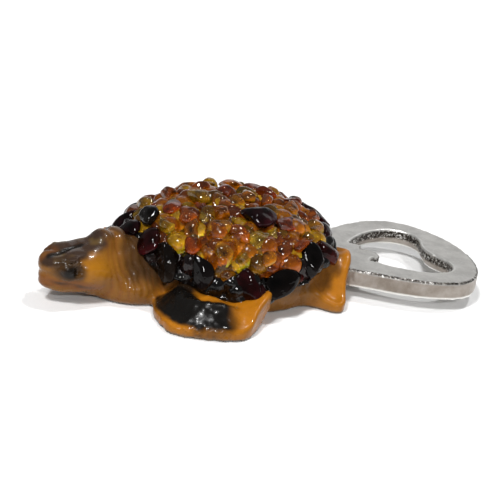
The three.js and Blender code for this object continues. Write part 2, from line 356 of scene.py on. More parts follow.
# ---------- materials ----------
class Shader:
    """A small helper that adds nodes to a material and links them."""

    def __init__(self, name):
        self.material = bpy.data.materials.new(name)
        self.material.use_nodes = True
        self.tree = self.material.node_tree
        self.main = self.tree.nodes["Principled BSDF"]
        coordinates = self.tree.nodes.new("ShaderNodeTexCoord")
        self.place = coordinates.outputs["Object"]

    def set(self, **values):
        for key, value in values.items():
            socket = self.main.inputs[key.replace("_", " ")]
            socket.default_value = value

    def link(self, source, target):
        self.tree.links.new(source, self.main.inputs[target] if isinstance(target, str) else target)

    def noise(self, scale, detail=3, roughness=0.5, distortion=0.0):
        node = self.tree.nodes.new("ShaderNodeTexNoise")
        node.inputs["Scale"].default_value = scale
        node.inputs["Detail"].default_value = detail
        node.inputs["Roughness"].default_value = roughness
        node.inputs["Distortion"].default_value = distortion
        self.link(self.place, node.inputs["Vector"])
        return node.outputs["Fac"]

    def cells(self, scale):
        node = self.tree.nodes.new("ShaderNodeTexVoronoi")
        node.inputs["Scale"].default_value = scale
        self.link(self.place, node.inputs["Vector"])
        return node.outputs["Distance"]

    def ramp(self, value, stops):
        node = self.tree.nodes.new("ShaderNodeValToRGB")
        ramp = node.color_ramp
        while len(ramp.elements) < len(stops):
            ramp.elements.new(0.5)
        for element, (place, colour) in zip(ramp.elements, stops):
            element.position = place
            element.color = (*colour, 1) if np.ndim(colour) else (colour, colour, colour, 1)
        self.link(value, node.inputs["Fac"])
        return node.outputs["Color"]

    def mix(self, share, a, b, blend="MIX"):
        node = self.tree.nodes.new("ShaderNodeMix")
        node.data_type = "RGBA"
        node.blend_type = blend
        for socket, value in ((node.inputs[0], share), (node.inputs[6], a), (node.inputs[7], b)):
            if isinstance(value, bpy.types.NodeSocket):
                self.link(value, socket)
            elif np.ndim(value):
                socket.default_value = (*value, 1)
            else:
                socket.default_value = value
        return node.outputs[2]

    def attribute(self, name):
        node = self.tree.nodes.new("ShaderNodeAttribute")
        node.attribute_name = name
        return node.outputs["Color"]

    def split(self, colour):
        node = self.tree.nodes.new("ShaderNodeSeparateColor")
        self.link(colour, node.inputs[0])
        return node.outputs

    def range(self, value, low, high):
        node = self.tree.nodes.new("ShaderNodeMapRange")
        node.inputs["To Min"].default_value = low
        node.inputs["To Max"].default_value = high
        self.link(value, node.inputs["Value"])
        return node.outputs["Result"]

    def bump(self, height, strength, distance):
        node = self.tree.nodes.new("ShaderNodeBump")
        node.inputs["Strength"].default_value = strength
        node.inputs["Distance"].default_value = distance
        self.link(height, node.inputs["Height"])
        before = self.main.inputs["Normal"].links
        if before:
            self.tree.links.new(before[0].from_socket, node.inputs["Normal"])
        self.link(node.outputs["Normal"], "Normal")

    def absorb(self, colour, density):
        node = self.tree.nodes.new("ShaderNodeVolumeAbsorption")
        node.inputs["Color"].default_value = (*colour, 1)
        node.inputs["Density"].default_value = density
        self.tree.links.new(node.outputs[0], self.tree.nodes["Material Output"].inputs["Volume"])


def resin_material():
    """Painted polyresin under clear lacquer: the paint attribute, a little mottled."""
    shader = Shader("painted_resin")
    paint = shader.attribute("paint")
    mottle = shader.ramp(shader.noise(420, 5, 0.6), [(0.3, 0.7), (0.7, 1.0)])
    colour = shader.mix(0.5, paint, mottle, "MULTIPLY")
    stain = shader.ramp(shader.noise(190, 4, 0.65), [(0.45, 1.0), (0.75, 0.7)])
    colour = shader.mix(0.25, colour, stain, "MULTIPLY")
    shader.link(colour, "Base Color")
    shader.link(shader.range(shader.noise(300, 3), 0.18, 0.38), "Roughness")
    shader.bump(shader.noise(900, 4, 0.6), 0.25, 0.0002)
    shader.set(Coat_Weight=0.15, Coat_Roughness=0.05, Specular_IOR_Level=0.14, Subsurface_Weight=0.04)
    shader.main.inputs["Subsurface Radius"].default_value = (0.002, 0.001, 0.0004)
    return shader.material


def nickel_material():
    """Satin nickel on a cast plate, by its wear and by painted light: pitted bands with painted shade and
    glints, arrises with a painted highlight over the polish of wear, and brownish walls.
    """
    shader = Shader("nickel_plate")
    pitted, arris, wall = shader.split(shader.attribute("wear_and_sheen"))
    base = shader.ramp(shader.noise(260, 5, 0.6), [(0.35, srgb(190, 188, 184)), (0.65, srgb(214, 212, 208))])
    sparkle = shader.ramp(shader.noise(2600, 2, 0.5), [(0.62, 0.0), (0.7, 1.0)])
    base = shader.mix(shader.range(sparkle, 0.0, 0.35), base, srgb(250, 250, 250))
    stain = shader.ramp(shader.noise(140, 5, 0.65), [(0.4, srgb(138, 128, 118)), (0.62, srgb(168, 160, 152))])
    base = shader.mix(wall, base, stain)
    # painted highlight along the arrises, over the brighter polish that wear leaves there
    base = shader.mix(arris, base, srgb(240, 239, 235))
    # real pitting, with painted shade in the pits and painted glints between them
    grit = shader.noise(1500, 5, 0.75)
    pits = [(0.45, srgb(40, 35, 32)), (0.54, srgb(116, 110, 103)), (0.62, srgb(252, 251, 248))]
    base = shader.mix(pitted, base, shader.ramp(grit, pits))
    shader.link(base, "Base Color")
    shader.set(Metallic=1.0)
    shader.link(shader.range(shader.noise(1500, 3), 0.32, 0.5), "Roughness")
    shader.bump(shader.noise(1400, 4, 0.7), 0.3, 0.0001)
    shader.bump(shader.mix(pitted, (0.5, 0.5, 0.5), grit), 0.8, 0.0004)
    return shader.material


WHITE = (1.0, 1.0, 1.0)
PAINTED_GLINT_TINT = (2.4, 2.6, 3.0)  # a painted glint is this many times as bright as the paint round it


def add_painted_glints(shader, colour, scale, core, edge):
    """Painted glints: tiny bright specks painted into a colour, by the distance to the middle of each cell.
    """
    glint_specks = shader.ramp(shader.cells(scale), [(core, 1.0), (edge, 0.0)])
    glint_colour = shader.mix(1.0, shader.attribute("paint"), PAINTED_GLINT_TINT, "MULTIPLY")
    return shader.mix(shader.range(glint_specks, 0.0, 0.7), colour, glint_colour)


def amber_material(name, clear, absorb=None, density=0, specular=0.3):
    """Tumbled amber: each chip's own tone with soft dark clouds, and painted glints if it is clear."""
    shader = Shader(name)
    cloud = shader.ramp(shader.noise(230, 4, 0.6, 1.4), [(0.38, (0.5, 0.36, 0.24)), (0.6, WHITE)])
    colour = shader.mix(0.8, shader.attribute("paint"), cloud, "MULTIPLY")
    if clear:
        colour = add_painted_glints(shader, colour, 1300, 0.1, 0.18)
    shader.link(colour, "Base Color")
    shader.set(Transmission_Weight=clear, IOR=1.54, Roughness=0.03, Specular_IOR_Level=specular)
    shader.bump(shader.noise(420, 2), 0.4, 0.0007)
    shader.bump(shader.noise(150, 2), 0.35, 0.002)
    if density:
        shader.absorb(absorb, density)
    return shader.material


def epoxy_material():
    """Clear glue full of crushed amber: grains of many tones, dark clouds and painted glints."""
    shader = Shader("amber_epoxy")
    cloud = shader.ramp(shader.noise(380, 4, 0.65, 1.2), [(0.36, (0.45, 0.3, 0.18)), (0.6, WHITE)])
    colour = shader.mix(0.85, shader.attribute("paint"), cloud, "MULTIPLY")
    shader.link(add_painted_glints(shader, colour, 1100, 0.12, 0.2), "Base Color")
    shader.set(Roughness=0.05, Transmission_Weight=0.4, IOR=1.5, Specular_IOR_Level=0.3)
    shader.bump(shader.noise(1000, 3, 0.6), 0.4, 0.0003)
    return shader.material


MATERIALS = {
    "resin": resin_material(),
    "nickel": nickel_material(),
    "honey_amber": amber_material("honey_amber", 0.6, (1, 0.62, 0.05), 60),
    "cognac_amber": amber_material("cognac_amber", 0.55, (1, 0.5, 0.05), 80),
    "lemon_amber": amber_material("lemon_amber", 0.65, (1, 0.85, 0.1), 40),
    "cherry_amber": amber_material("cherry_amber", 0.0, specular=0.14),
    "black_amber": amber_material("black_amber", 0.0, specular=0.14),
    "epoxy": epoxy_material(),
}

TONES = {
    "honey_amber": [(250, 152, 18), (242, 136, 12), (234, 120, 8), (255, 170, 26), (220, 106, 6)],
    "cognac_amber": [(204, 90, 6), (186, 74, 4), (178, 88, 10), (196, 98, 10)],
    "lemon_amber": [(250, 196, 40), (242, 182, 28), (224, 174, 44)],
    "cherry_amber": [(44, 8, 11), (34, 7, 12), (54, 13, 12)],
    "black_amber": [(15, 11, 11), (10, 8, 10), (20, 15, 12)],
}
# Painted light: chips and crumbs get a painted glow on the side that faces this way, where light that enters
# at the window's side would come out, and painted shade on the other side.
PAINTED_GLOW_WAY = np.array([0.42, -0.4, -0.81])


def paint_chip(shape, slot):
    """A chip's own tone with painted light: painted shade at the top and a painted glow where the light would
    come out of it.
    """
    tone = srgb(*TONES[slot][int(RNG.integers(len(TONES[slot])))]) * RNG.uniform(0.8, 1.1)
    out = (shape - shape.mean(0)) @ PAINTED_GLOW_WAY
    share = step(-0.1, 1.0, out / max(np.abs(out).max(), 1e-6))
    swirl = noise(*shape.T, 1.3, 21) * 0.35
    # painted shade (0.36 of the tone) at the top and a painted glow (up to 1.6 more) where light would come
    # out
    paint = tone[None, :] * (0.36 + 1.6 * share + swirl)[:, None]
    return np.clip(paint, 0, 1)


# ---------- dome that carries the shell ----------
DOME_CENTRE = (-7.6, 0.0, 4.5)
DOME_SIZE = (23.2, 18.6, 12.9)
DOME_POWER = 2.3
DOME_SLOPE = 0.9  # brings the field near a true distance
BED = 1.1  # how far the middle of the glue stands above the dome


def dome_reach(x, y, z, grow):
    """1 on the dome when it is larger by grow, less inside it and more outside."""
    a, b, c = (size + grow for size in DOME_SIZE)
    flat = np.hypot((x - DOME_CENTRE[0]) / a, (y - DOME_CENTRE[1]) / b)
    up = np.abs((z - DOME_CENTRE[2]) / c)
    return (flat ** DOME_POWER + up ** DOME_POWER) ** (1 / DOME_POWER)


def dome_field(p, grow):
    reach = dome_reach(*p, grow)
    return (reach - 1) * (DOME_SIZE[2] + grow) * DOME_SLOPE


def dome_normal(x, y, z):
    """Direction straight out of the glue's surface."""
    a, b, c = (size + BED for size in DOME_SIZE)
    u, v, w = (x - DOME_CENTRE[0]) / a, (y - DOME_CENTRE[1]) / b, (z - DOME_CENTRE[2]) / c
    pull = np.maximum(np.hypot(u, v), 1e-6) ** (DOME_POWER - 2)
    normal = np.array([u * pull / a, v * pull / b, np.sign(w) * np.abs(w) ** (DOME_POWER - 1) / c])
    return normal / np.linalg.norm(normal)


EDGE_Z = 4.2
EDGE_SLOPE = math.tan(math.radians(18))
EDGE_LEVEL = (-16, -7)  # the edge is level between these places along X


def below_edge(p):
    """Positive below the epoxy's lower edge, which rises towards both ends of the shell."""
    front, rear = EDGE_LEVEL
    rise = EDGE_SLOPE * (np.maximum(p[0] - rear, 0) + np.maximum(front - p[0], 0))
    return EDGE_Z + rise - p[2]


# ---------- casting: head and neck ----------
def add_lumps(field, p, lumps):
    """Merges ellipsoids, each given by its centre, half sizes and fillet."""
    for centre, size, soft in lumps:
        field = merge(field, ellipsoid(p, centre, size), soft)
    return field


HEAD_AT = np.array([-42.8, -6.4])
HEAD_TURN = math.radians(17)

# Places on the head are given forward, to its left and up. Its right side is the same.
SKULL = ((0, 0, 6.8), (7.2, 5.9, 5.0))
HEAD_LUMPS = [
    ((5.9, 0, 6.9), (4.2, 4.2, 3.6), 1.4),  # snout
    ((0.4, 3.4, 7.2), (4.8, 2.9, 3.7), 1.2),  # cheek
    ((8.5, 0, 5.3), (1.9, 2.3, 2.0), 0.7),  # beak
    ((3.2, 0, 3.9), (5.4, 3.9, 1.9), 1.2),  # jaw
    ((7.3, 1.7, 9.0), (2.4, 1.8, 1.5), 0.5),  # scale in front of the eye
    ((3.4, 2.5, 10.3), (3.2, 1.9, 1.2), 0.5),  # scale above the eye
    ((-2.2, 1.3, 11.0), (3.4, 2.3, 1.0), 0.7),  # back of the crown
]
NOSE = ((7.9, 0, 8.1), (2.5, 2.9, 1.7), 0.8)
EYE = (6.3, 4.3, 8.0)
EYE_SIZE = (1.55, 1.1, 1.35)
SOCKET = (EYE[0] + 0.2, EYE[1] + 1.2, EYE[2])
SOCKET_SIZE = (2.7, 1.7, 1.9)
UPPER_LID = [(8.5, 2.8, 7.6), (7.2, 4.3, 8.9), (4.6, 5.1, 9.8)]
BROW = [(8.7, 2.0, 8.6), (7.4, 3.5, 9.8), (4.6, 4.4, 10.6)]
LOWER_LID = [(8.2, 3.2, 7.1), (6.6, 4.8, 6.5), (4.2, 5.5, 7.0)]
LIDS = [(UPPER_LID, 0.45, 0.35), (BROW, 0.5, 0.4), (LOWER_LID, 0.42, 0.5)]  # line, radius, fillet
SEAM = [(8.4, 0, 10.2), (5, 0, 10.8), (1.4, 0, 11.7)]  # groove along the top of the head
LIPS = [(10.5, 0.5, 5.0), (8.9, 2.5, 5.3), (6.0, 4.2, 4.9), (2.8, 5.5, 4.0), (-0.8, 6.0, 3.6)]
CREASE = [(10.5, 0, 6.9), (9.9, 1.8, 7.0), (8.8, 3.2, 6.6)]  # above the beak


def head_axes(p):
    """Coordinates along the head: forward, to its left, and up."""
    x, y, z = p
    dx, dy = x - HEAD_AT[0], y - HEAD_AT[1]
    forward = -dx * math.cos(HEAD_TURN) - dy * math.sin(HEAD_TURN)
    left = dx * math.sin(HEAD_TURN) - dy * math.cos(HEAD_TURN)
    return forward, left, z


def head_field(p):
    forward, left, up = head_axes(p)
    q = (forward, np.abs(left), up)
    head = add_lumps(ellipsoid(q, *SKULL), q, HEAD_LUMPS)
    head = cut(head, chain(q, SEAM, 0.55), 0.5)
    head = cut(head, ellipsoid(q, SOCKET, SOCKET_SIZE), 0.7)
    head = merge(head, ellipsoid(q, EYE, EYE_SIZE), 0.2)
    for line, radius, soft in LIDS:
        head = merge(head, chain(q, line, radius), soft)
    head = cut(head, chain(q, LIPS, 0.12), 0.4)
    head = add_lumps(head, q, [NOSE])
    return cut(head, chain(q, CREASE, 0.05), 0.9)


NECK_FROM = np.array([-25.0, -0.6, 5.2])
NECK_TO = np.array([-41.0, -5.8, 6.3])
NECK_RADII = (8.2, 6.3)
NECK_MIDDLE = 5.6  # the neck is flattened about this height
NECK_FLATNESS = 1.12
NECK_LUMPS = [
    ((-31.0, -4.0, 2.6), (9.5, 9.4, 5.4), 2.0),  # throat
    ((-38.8, -5.0, 11.3), (2.8, 3.6, 3.2), 1.4),  # nape, behind the head
    ((-35.2, -3.2, 10.8), (2.4, 4.4, 3.2), 0.8),  # nape, in front of the shell
]
FOLD_PITCH = 1.45


def neck_along(p):
    """How far along the neck a place lies, from the shell towards the head."""
    way = NECK_TO - NECK_FROM
    return sum((p[n] - NECK_FROM[n]) * way[n] for n in range(3)) / np.linalg.norm(way)


def wrinkle(p):
    """From 0 in a fold to 1 on a ridge, round the neck."""
    bend = 1.4 * noise(*p, 5.0, 2) + 0.9 * noise(*p, 2.0, 3)
    return 0.5 + 0.5 * np.sin(2 * math.pi * (neck_along(p) / FOLD_PITCH + 0.4 * bend))


def neck_field(p):
    q = (p[0], p[1], (p[2] - NECK_MIDDLE) * NECK_FLATNESS + NECK_MIDDLE)
    neck = add_lumps(rod(q, NECK_FROM, NECK_TO, *NECK_RADII), p, NECK_LUMPS)
    along = neck_along(p)
    folded = step(6.0, 10.0, along) * (1 - step(14.5, 17.0, along)) * step(1.0, 3.0, p[2])
    depth = 0.04 + 0.2 * folded * step(13.0, 10.0, p[2])
    return neck - depth * (wrinkle(p) - 0.55)


# ---------- casting: flippers ----------
OUTLINE_STEPS = 8
FRONT_FLIPPER = curve_through([
    (-26, -10), (-29.6, -15.5), (-30.4, -21.5), (-29.4, -26.6), (-24.5, -29.4), (-17.4, -31.3),
    (-13.3, -30.0), (-10.2, -26.4), (-6.3, -22.6), (-5.4, -19.2), (-9, -16), (-15, -11),
], OUTLINE_STEPS)
HIND_FLIPPER = curve_through([
    (-4, -9), (1.5, -13.4), (7.0, -15.4), (11.2, -18.9), (13.9, -18.4),
    (15.9, -13.6), (18.4, -9.2), (18.6, -5), (9, -3),
], OUTLINE_STEPS)
RIDGE_AT = (-18.5, -19.5)
RIDGE_BOW = 8.0
FLIPPER_ROOT_X = -31
FLIPPER_LENGTH = 25


def past_ridge(x, y):
    """How far outside the bowed crest of the front flipper a place lies."""
    return np.hypot(x - RIDGE_AT[0], y - RIDGE_AT[1]) - RIDGE_BOW


def front_top(x, y, inset):
    """Height of the front flipper: a rounded ridge behind a low rim that climbs to the tip."""
    along = (x - FLIPPER_ROOT_X) / FLIPPER_LENGTH
    tip = step(0.6, 1.0, along)
    rim = 2.1 + 0.5 * along + 4.3 * tip
    dish = 0.55 * step(0.6, 3.6, inset) * (1 - tip)
    past = past_ridge(x, y)
    ridge = 4.5 * step(4.0, -1.2, past) - 1.1 * step(-1.2, -4.6, past)
    ridge *= 1 - 0.8 * step(0.45, 0.85, along)
    return rim - dish + ridge


def hind_top(x, y, inset):
    """Height of the hind flipper: a low outer edge that climbs towards the tail."""
    climb = step(-19.5, -7.5, y)
    return 2.0 + 7.5 * climb - 0.5 * step(0.5, 2.2, inset) + 0.5 * step(10, 14, x)


def front_flipper(p):
    """The flipper of the left side, with its tip lifted off the floor."""
    x, y, z = p
    side = outline_on(p, FRONT_FLIPPER)
    flipper = slab(side, z - front_top(x, y, -side), 0.9)
    return np.maximum(flipper, 3.0 * step(-12.5, -5.5, x) - z)


def hind_flipper(p):
    x, y, z = p
    side = outline_on(p, HIND_FLIPPER)
    return slab(side, z - hind_top(x, y, -side), 0.7)


def ridge_dimples(p):
    """Depth of the dimples in the thick dark paint of the ridge."""
    x, near = p[0], -np.abs(p[1])
    on_ridge = step(3.2, 2.0, past_ridge(x, near)) * step(-13.5, -15.5, near)
    on_ridge = on_ridge * (1 - step(-18.0, -14.5, x))
    return on_ridge * (0.3 * noise(*p, 1.7, 7) + 0.16 * noise(*p, 0.9, 8))


def ridge_grains(p):
    """Depth of the small grains along the foot of the ridge."""
    x, near = p[0], -np.abs(p[1])
    past = past_ridge(x, near)
    at_foot = step(1.8, 2.8, past) * step(5.0, 4.2, past)
    at_foot = at_foot * step(-20.5, -22.5, near) * step(-16.0, -19.0, x)
    return 0.34 * at_foot * noise(*p, 0.65, 9)


# ---------- casting: the whole turtle ----------
TAIL = ((11.6, 0, 4.4), (8.8, 12.6, 6.2))
BELLY_MIDDLE = -8.5
BELLY_SIZE = (22, 15.2)
BELLY_TOP = 3.4
TANG_START_X = 17.6
TANG_HALF_WIDTH = 10.5
TANG_Z = 4.9
TANG_HALF_HEIGHT = 2.3
BODY_PITCH = 0.36
BODY_LOW, BODY_HIGH = (-54.0, -32.6, -0.6), (22.0, 32.6, 18.2)


def belly_field(p):
    x, y, z = p
    reach = np.hypot((x - BELLY_MIDDLE) / BELLY_SIZE[0], y / BELLY_SIZE[1]) - 1
    return np.maximum(reach * 15, z - BELLY_TOP)


def tang_space(p):
    """The slot in the tail that the opener plate leaves by."""
    side = np.abs(p[1]) - TANG_HALF_WIDTH
    rise = np.abs(p[2] - TANG_Z) - TANG_HALF_HEIGHT
    return np.maximum(np.maximum(side, rise), TANG_START_X - p[0])


def body_field(p):
    x, y, z = p
    left_half = (x, -np.abs(y), z)
    body = dome_field(p, 0)
    body = merge(body, belly_field(p), 1.0)
    body = merge(body, front_flipper(left_half), 1.6)
    body = merge(body, hind_flipper(left_half), 1.4)
    body = merge(body, ellipsoid(p, *TAIL), 1.2)
    body = merge(body, neck_field(p), 1.6)
    body = merge(body, head_field(p), 0.9)
    body = body - ridge_dimples(p)
    body = body - ridge_grains(p)
    body = body - 0.16 * noise(*p, 2.6, 5) - 0.06 * noise(*p, 1.0, 6)
    body = cut(body, tang_space(p), 0.15)
    return cut(body, z, 0.35)


SKIN = srgb(126, 82, 27)
GOLD = srgb(174, 114, 20)
ORANGE = srgb(178, 110, 18)
BLACK = srgb(15, 13, 11)
UMBER = srgb(52, 36, 22)
PLUM = srgb(46, 36, 33)
RUST = srgb(118, 70, 30)
OLIVE = srgb(104, 82, 44)
GREY_EDGE = srgb(120, 96, 72)


def blend(paint, colour, share):
    return paint + (colour - paint) * np.clip(share, 0, 1)[:, None]


def paint_flippers(paint, p, near, rough, fine):
    """Orange flippers, with a ragged black patch on the ridge of each front one."""
    x, _, z = p
    inset = -outline_on(as_grid(x, near, z), FRONT_FLIPPER).ravel()
    on_front = step(-0.6, 0.6, inset) * step(-11.5, -14, near) * (x < 0)
    paint = blend(paint, ORANGE, 0.9 * on_front)
    past = past_ridge(x, near)
    patch = step(4.3, 3.1, past + 0.35 * rough) * step(-5.2, -3.4, past + 0.3 * fine)
    patch = patch * (1 - step(-18.5, -14.0, x + 0.8 * rough))
    patch *= step(0.8, -0.8, near + 14.8 + 0.35 * (x + 24) + 0.5 * rough)
    paint = blend(paint, BLACK, on_front * patch)
    inset = -outline_on(as_grid(x, near, z), HIND_FLIPPER).ravel()
    on_hind = step(-0.6, 0.6, inset) * (x > 0)
    return blend(paint, ORANGE, 0.8 * on_hind)


def paint_neck(paint, p, near, rough):
    """Rust in the folds, dark streaks above them, and painted shade where the neck runs in under the shell.
    """
    _, y, z = p
    along = neck_along(p)
    on_neck = step(2.0, 5.0, along) * (1 - step(16.0, 18.0, along)) * step(-14.5, -12.0, near)
    groove = (1 - wrinkle(p)) ** 2
    paint = blend(paint, RUST, 0.6 * on_neck * groove)
    streak = step(0.1, 0.9, noise(along, y * 0.25, z * 0.25, 1.1, 17))
    paint = blend(paint, UMBER, 0.45 * on_neck * streak * step(3.0, 7.0, z))
    paint = blend(paint, UMBER, 0.6 * on_neck * step(12.4, 14.4, z + 1.0 * rough))
    # painted shade on the neck where it runs in under the shell
    shade_by_shell = step(1.22, 1.08, dome_reach(*p, 3.0) + 0.04 * rough) * step(4.0, 7.0, z)
    return blend(paint, UMBER, 0.8 * on_neck * shade_by_shell)


def paint_crown(paint, p, on_head, rough):
    """The dark top of the head, with olive clouds, rust on the right of the snout and a black seam."""
    forward, left, up = head_axes(p)
    crown_line = 8.2 + (10.5 - forward) * 0.27
    crown = step(-0.5, 0.7, up - crown_line + 0.5 * rough) * step(-4.6, -2.6, forward + 0.5 * rough)
    paint = blend(paint, PLUM, 0.92 * on_head * crown)
    paint = blend(paint, OLIVE, 0.6 * on_head * crown * step(0.0, 0.8, noise(*p, 1.7, 14)))
    paint = blend(paint, RUST, 0.6 * on_head * crown * step(-0.2, 1.0, -left) * step(5, 7, forward))
    seam = chain((forward, np.abs(left), up), SEAM, 0.4)
    return blend(paint, BLACK, 0.9 * on_head * step(0.8, 0.1, seam))


def paint_face(paint, p, on_head, rough):
    """The black eye in its dark ring, the lips and the shade under the jaw."""
    forward, left, up = head_axes(p)
    side = np.abs(left)
    flat = ((forward - EYE[0]) / 1.25) ** 2 + (up - EYE[2]) ** 2
    around_eye = np.sqrt(flat + 0.3 * (side - EYE[1]) ** 2)
    paint = blend(paint, UMBER, 0.85 * on_head * step(3.3, 1.7, around_eye + 0.4 * rough))
    paint = blend(paint, BLACK, 0.95 * on_head * step(1.8, 1.0, around_eye))
    lips = chain((forward, side, up), LIPS, 0.0)
    paint = blend(paint, RUST, 0.85 * on_head * step(1.9, 0.5, lips + 0.5 * rough))
    lip_line = step(0.8, 0.1, lips + 0.2 * rough) * step(9.5, 7.5, forward)
    paint = blend(paint, UMBER, 0.85 * on_head * lip_line)
    jaw = step(2.9, 1.9, up + 0.5 * rough) * step(-0.5, 1.5, forward) * (1 - step(7.5, 9.0, forward))
    return blend(paint, UMBER, 0.8 * jaw)


def paint_head(paint, p, rough):
    forward, _, up = head_axes(p)
    on_head = step(-6.5, -3.5, forward)
    cheek = np.exp(-((forward - 0.6) / 3.6) ** 2 - ((up - 8.2) / 2.6) ** 2)
    paint = blend(paint, GOLD, 0.9 * on_head * cheek)
    paint = paint_crown(paint, p, on_head, rough)
    return paint_face(paint, p, on_head, rough)


def paint_body(points):
    p = tuple(points[:, n] for n in range(3))
    z = p[2]
    near = -np.abs(p[1])
    rough = noise(*p, 2.4, 11)
    fine = noise(*p, 0.8, 12)
    paint = np.tile(SKIN, (len(points), 1))
    paint = blend(paint, RUST, 0.35 * step(0.1, 0.9, noise(*p, 4.5, 13)))
    paint = paint_flippers(paint, p, near, rough, fine)
    # painted shade: umber on the body just below the rim of the shell
    shade_under_shell = step(1.06, 0.97, dome_reach(*p, 3.0) + 0.05 * rough) * step(3.0, 5.0, z)
    paint = blend(paint, UMBER, 0.6 * shade_under_shell)
    paint = paint_neck(paint, p, near, rough)
    paint = paint_head(paint, p, rough)
    paint = blend(paint, GREY_EDGE, step(0.75, 0.35, z + 0.1 * fine))
    return np.clip(paint, 0, 1)


def make_body():
    field = body_field(grid(BODY_LOW, BODY_HIGH, BODY_PITCH))
    points, quads = skin(field, BODY_LOW, BODY_PITCH)
    points = relax(points, quads, QUAD_LINKS, 1, 0.35)
    points[:, 2] = np.maximum(points[:, 2], 0.0)
    paint = {"paint": paint_body(points)}
    new_piece("painted_casting", points, quads, "resin", ["resin_casting"], paint)


# ---------- opener plate ----------
PLATE_MIDDLE = 40.2  # x of the widest point
PLATE_Z = (2.8, 7.0)
PLATE_EDGE = 0.42
CURVE_STEPS = 14
RING_HALF_WIDTH = 19.75
NOSE_LENGTH = 13.3
TANG_START = (-22.5, 10.3)
LIP_CENTRE = -9.6  # the plate is thinner within a round of the middle of the tooth
LIP_REACH = 4.4
LIP_DEPTH = 0.9
DRAFT = 1.3
PLATE_PITCH = 0.24
PLATE_LOW, PLATE_HIGH = (8.96, -20.4, 2.2), (54.2, 20.4, 7.6)


def bezier(a, b, c, d):
    t = np.linspace(0, 1, CURVE_STEPS, endpoint=False)[:, None]
    a, b, c, d = (np.asarray(v, float) for v in (a, b, c, d))
    return a * (1 - t) ** 3 + 3 * b * t * (1 - t) ** 2 + 3 * c * t ** 2 * (1 - t) + d * t ** 3


def both_sides(half):
    """A whole outline from the half of it on one side of the X axis."""
    half = np.asarray(half)
    return np.concatenate([half, half[::-1][1:] * (1, -1)])


def ring_outline():
    turn = np.linspace(0, math.pi / 2, 2 * CURVE_STEPS, endpoint=False)[:, None]
    nose = np.hstack([NOSE_LENGTH * np.cos(turn), RING_HALF_WIDTH * np.sin(turn)])
    flank = bezier((0, RING_HALF_WIDTH), (-8, RING_HALF_WIDTH), (-14, 15.5), TANG_START)
    tang = [TANG_START, (-26.5, 8.5), (-30, 8.5), (-30, 0)]
    return both_sides(np.concatenate([nose, flank, tang]))


def mouth_outline():
    """The kidney-shaped mouth, with a round fulcrum towards the nose and a tooth opposite it."""
    fulcrum = bezier((3, 0), (3, 3.6), (5.1, 5.2), (5.1, 8.2))
    lobe = bezier((5.1, 8.2), (5.1, 11.6), (2.6, 13.4), (-0.6, 13.4))
    back = bezier((-0.6, 13.4), (-5.6, 13.4), (-11, 9.6), (-14.6, 5.6))
    tooth = bezier((-14.6, 5.6), (-14.0, 3.4), (-9.6, 3.6), (-9.6, 0))
    return both_sides(np.concatenate([fulcrum, lobe, back, tooth, [(-9.6, 0)]]))


def draft(z):
    """How much wider the mouth is at a height: the lower half of its wall leans outwards."""
    return DRAFT * step(5.0, 2.8, z)


def plate_sides(p):
    """Distances to the outer edge and to the wall of the mouth, both negative in the metal."""
    outer = outline_on(p, ring_outline())
    inner = draft(p[2]) - outline_on(p, mouth_outline())
    return outer, inner


def plate_rise(z):
    """Distance to the nearer face of the plate, negative in the metal."""
    return np.abs(z - np.mean(PLATE_Z)) - (PLATE_Z[1] - PLATE_Z[0]) / 2


def plate_field(p):
    x, y, z = p[0] - PLATE_MIDDLE, p[1], p[2]
    side = np.maximum(*plate_sides((x, y, z)))
    rise = plate_rise(z)
    far = (np.minimum(np.abs(side), 3) / 0.5) ** 2 + (np.minimum(np.abs(rise), 3) / 0.5) ** 2
    arris = np.exp(-far)
    dent = noise(*p, 0.75, 21) + 0.6 * noise(*p, 1.6, 22)
    lip = np.maximum(np.hypot(x - LIP_CENTRE, y) - LIP_REACH, PLATE_Z[1] - LIP_DEPTH - z)
    plate = cut(slab(side, rise, PLATE_EDGE), lip, 0.25)
    wall = step(-0.9, -0.2, side)
    return plate + 0.12 * arris * dent + 0.05 * wall * noise(*p, 0.6, 23) + 0.012 * noise(*p, 1.2, 24)


def plate_wear_and_sheen(points):
    """How pitted a place is, how near an arris, and how much a part of the walls; pits and arrises carry
    painted shade and highlights in the nickel.
    """
    x, y, z = points.T
    outer, inner = (side.ravel() for side in plate_sides(as_grid(x - PLATE_MIDDLE, y, z)))
    side = np.maximum(outer, inner)
    rise = plate_rise(z)
    arris = step(-0.75, -0.25, side) * step(-0.75, -0.25, rise)
    wall = step(-0.35, -0.1, side) * step(-0.2, -0.6, rise)
    top = step(4.4, 5.3, z)
    pitted_wall = wall * (inner > outer) * top
    pitted_arris = arris * (outer > inner) * top * step(-0.1, 0.6, -y / 10)
    return np.stack([np.maximum(pitted_wall, pitted_arris), arris, wall], 1)


def make_plate():
    field = plate_field(grid(PLATE_LOW, PLATE_HIGH, PLATE_PITCH))
    points, quads = skin(field, PLATE_LOW, PLATE_PITCH)
    wear_and_sheen = {"wear_and_sheen": plate_wear_and_sheen(points)}
    new_piece("plated_opener", points, quads, "nickel", ["opener_plate"], wear_and_sheen)


# ---------- shell: chips ----------
CHIP_ROWS = ("rim_", "side_", "shoulder_", "upper_", "top_")
DARK_SLOTS = ("cherry_amber", "black_amber")
DARK_BAND = 4.0  # how far the dark chips reach above the epoxy's lower edge
THINNEST = 1.7
SPIRAL_TURN = math.pi * (3 - math.sqrt(5))
MOST_SMALL_CHIPS = 420
SMALLEST = 0.95
SMALL_CHIP_SEED = 500


def split_triangles(points, faces):
    """Each triangle as four, with the new points on the unit sphere."""
    known, fresh, cells = {}, list(points), []

    def middle(a, b):
        key = (min(a, b), max(a, b))
        if key not in known:
            known[key] = len(fresh)
            half = fresh[a] + fresh[b]
            fresh.append(half / np.linalg.norm(half))
        return known[key]

    for a, b, c in faces:
        ab, bc, ca = middle(a, b), middle(b, c), middle(c, a)
        cells += [(a, ab, ca), (ab, b, bc), (ca, bc, c), (ab, bc, ca)]
    return np.array(fresh), np.array(cells)


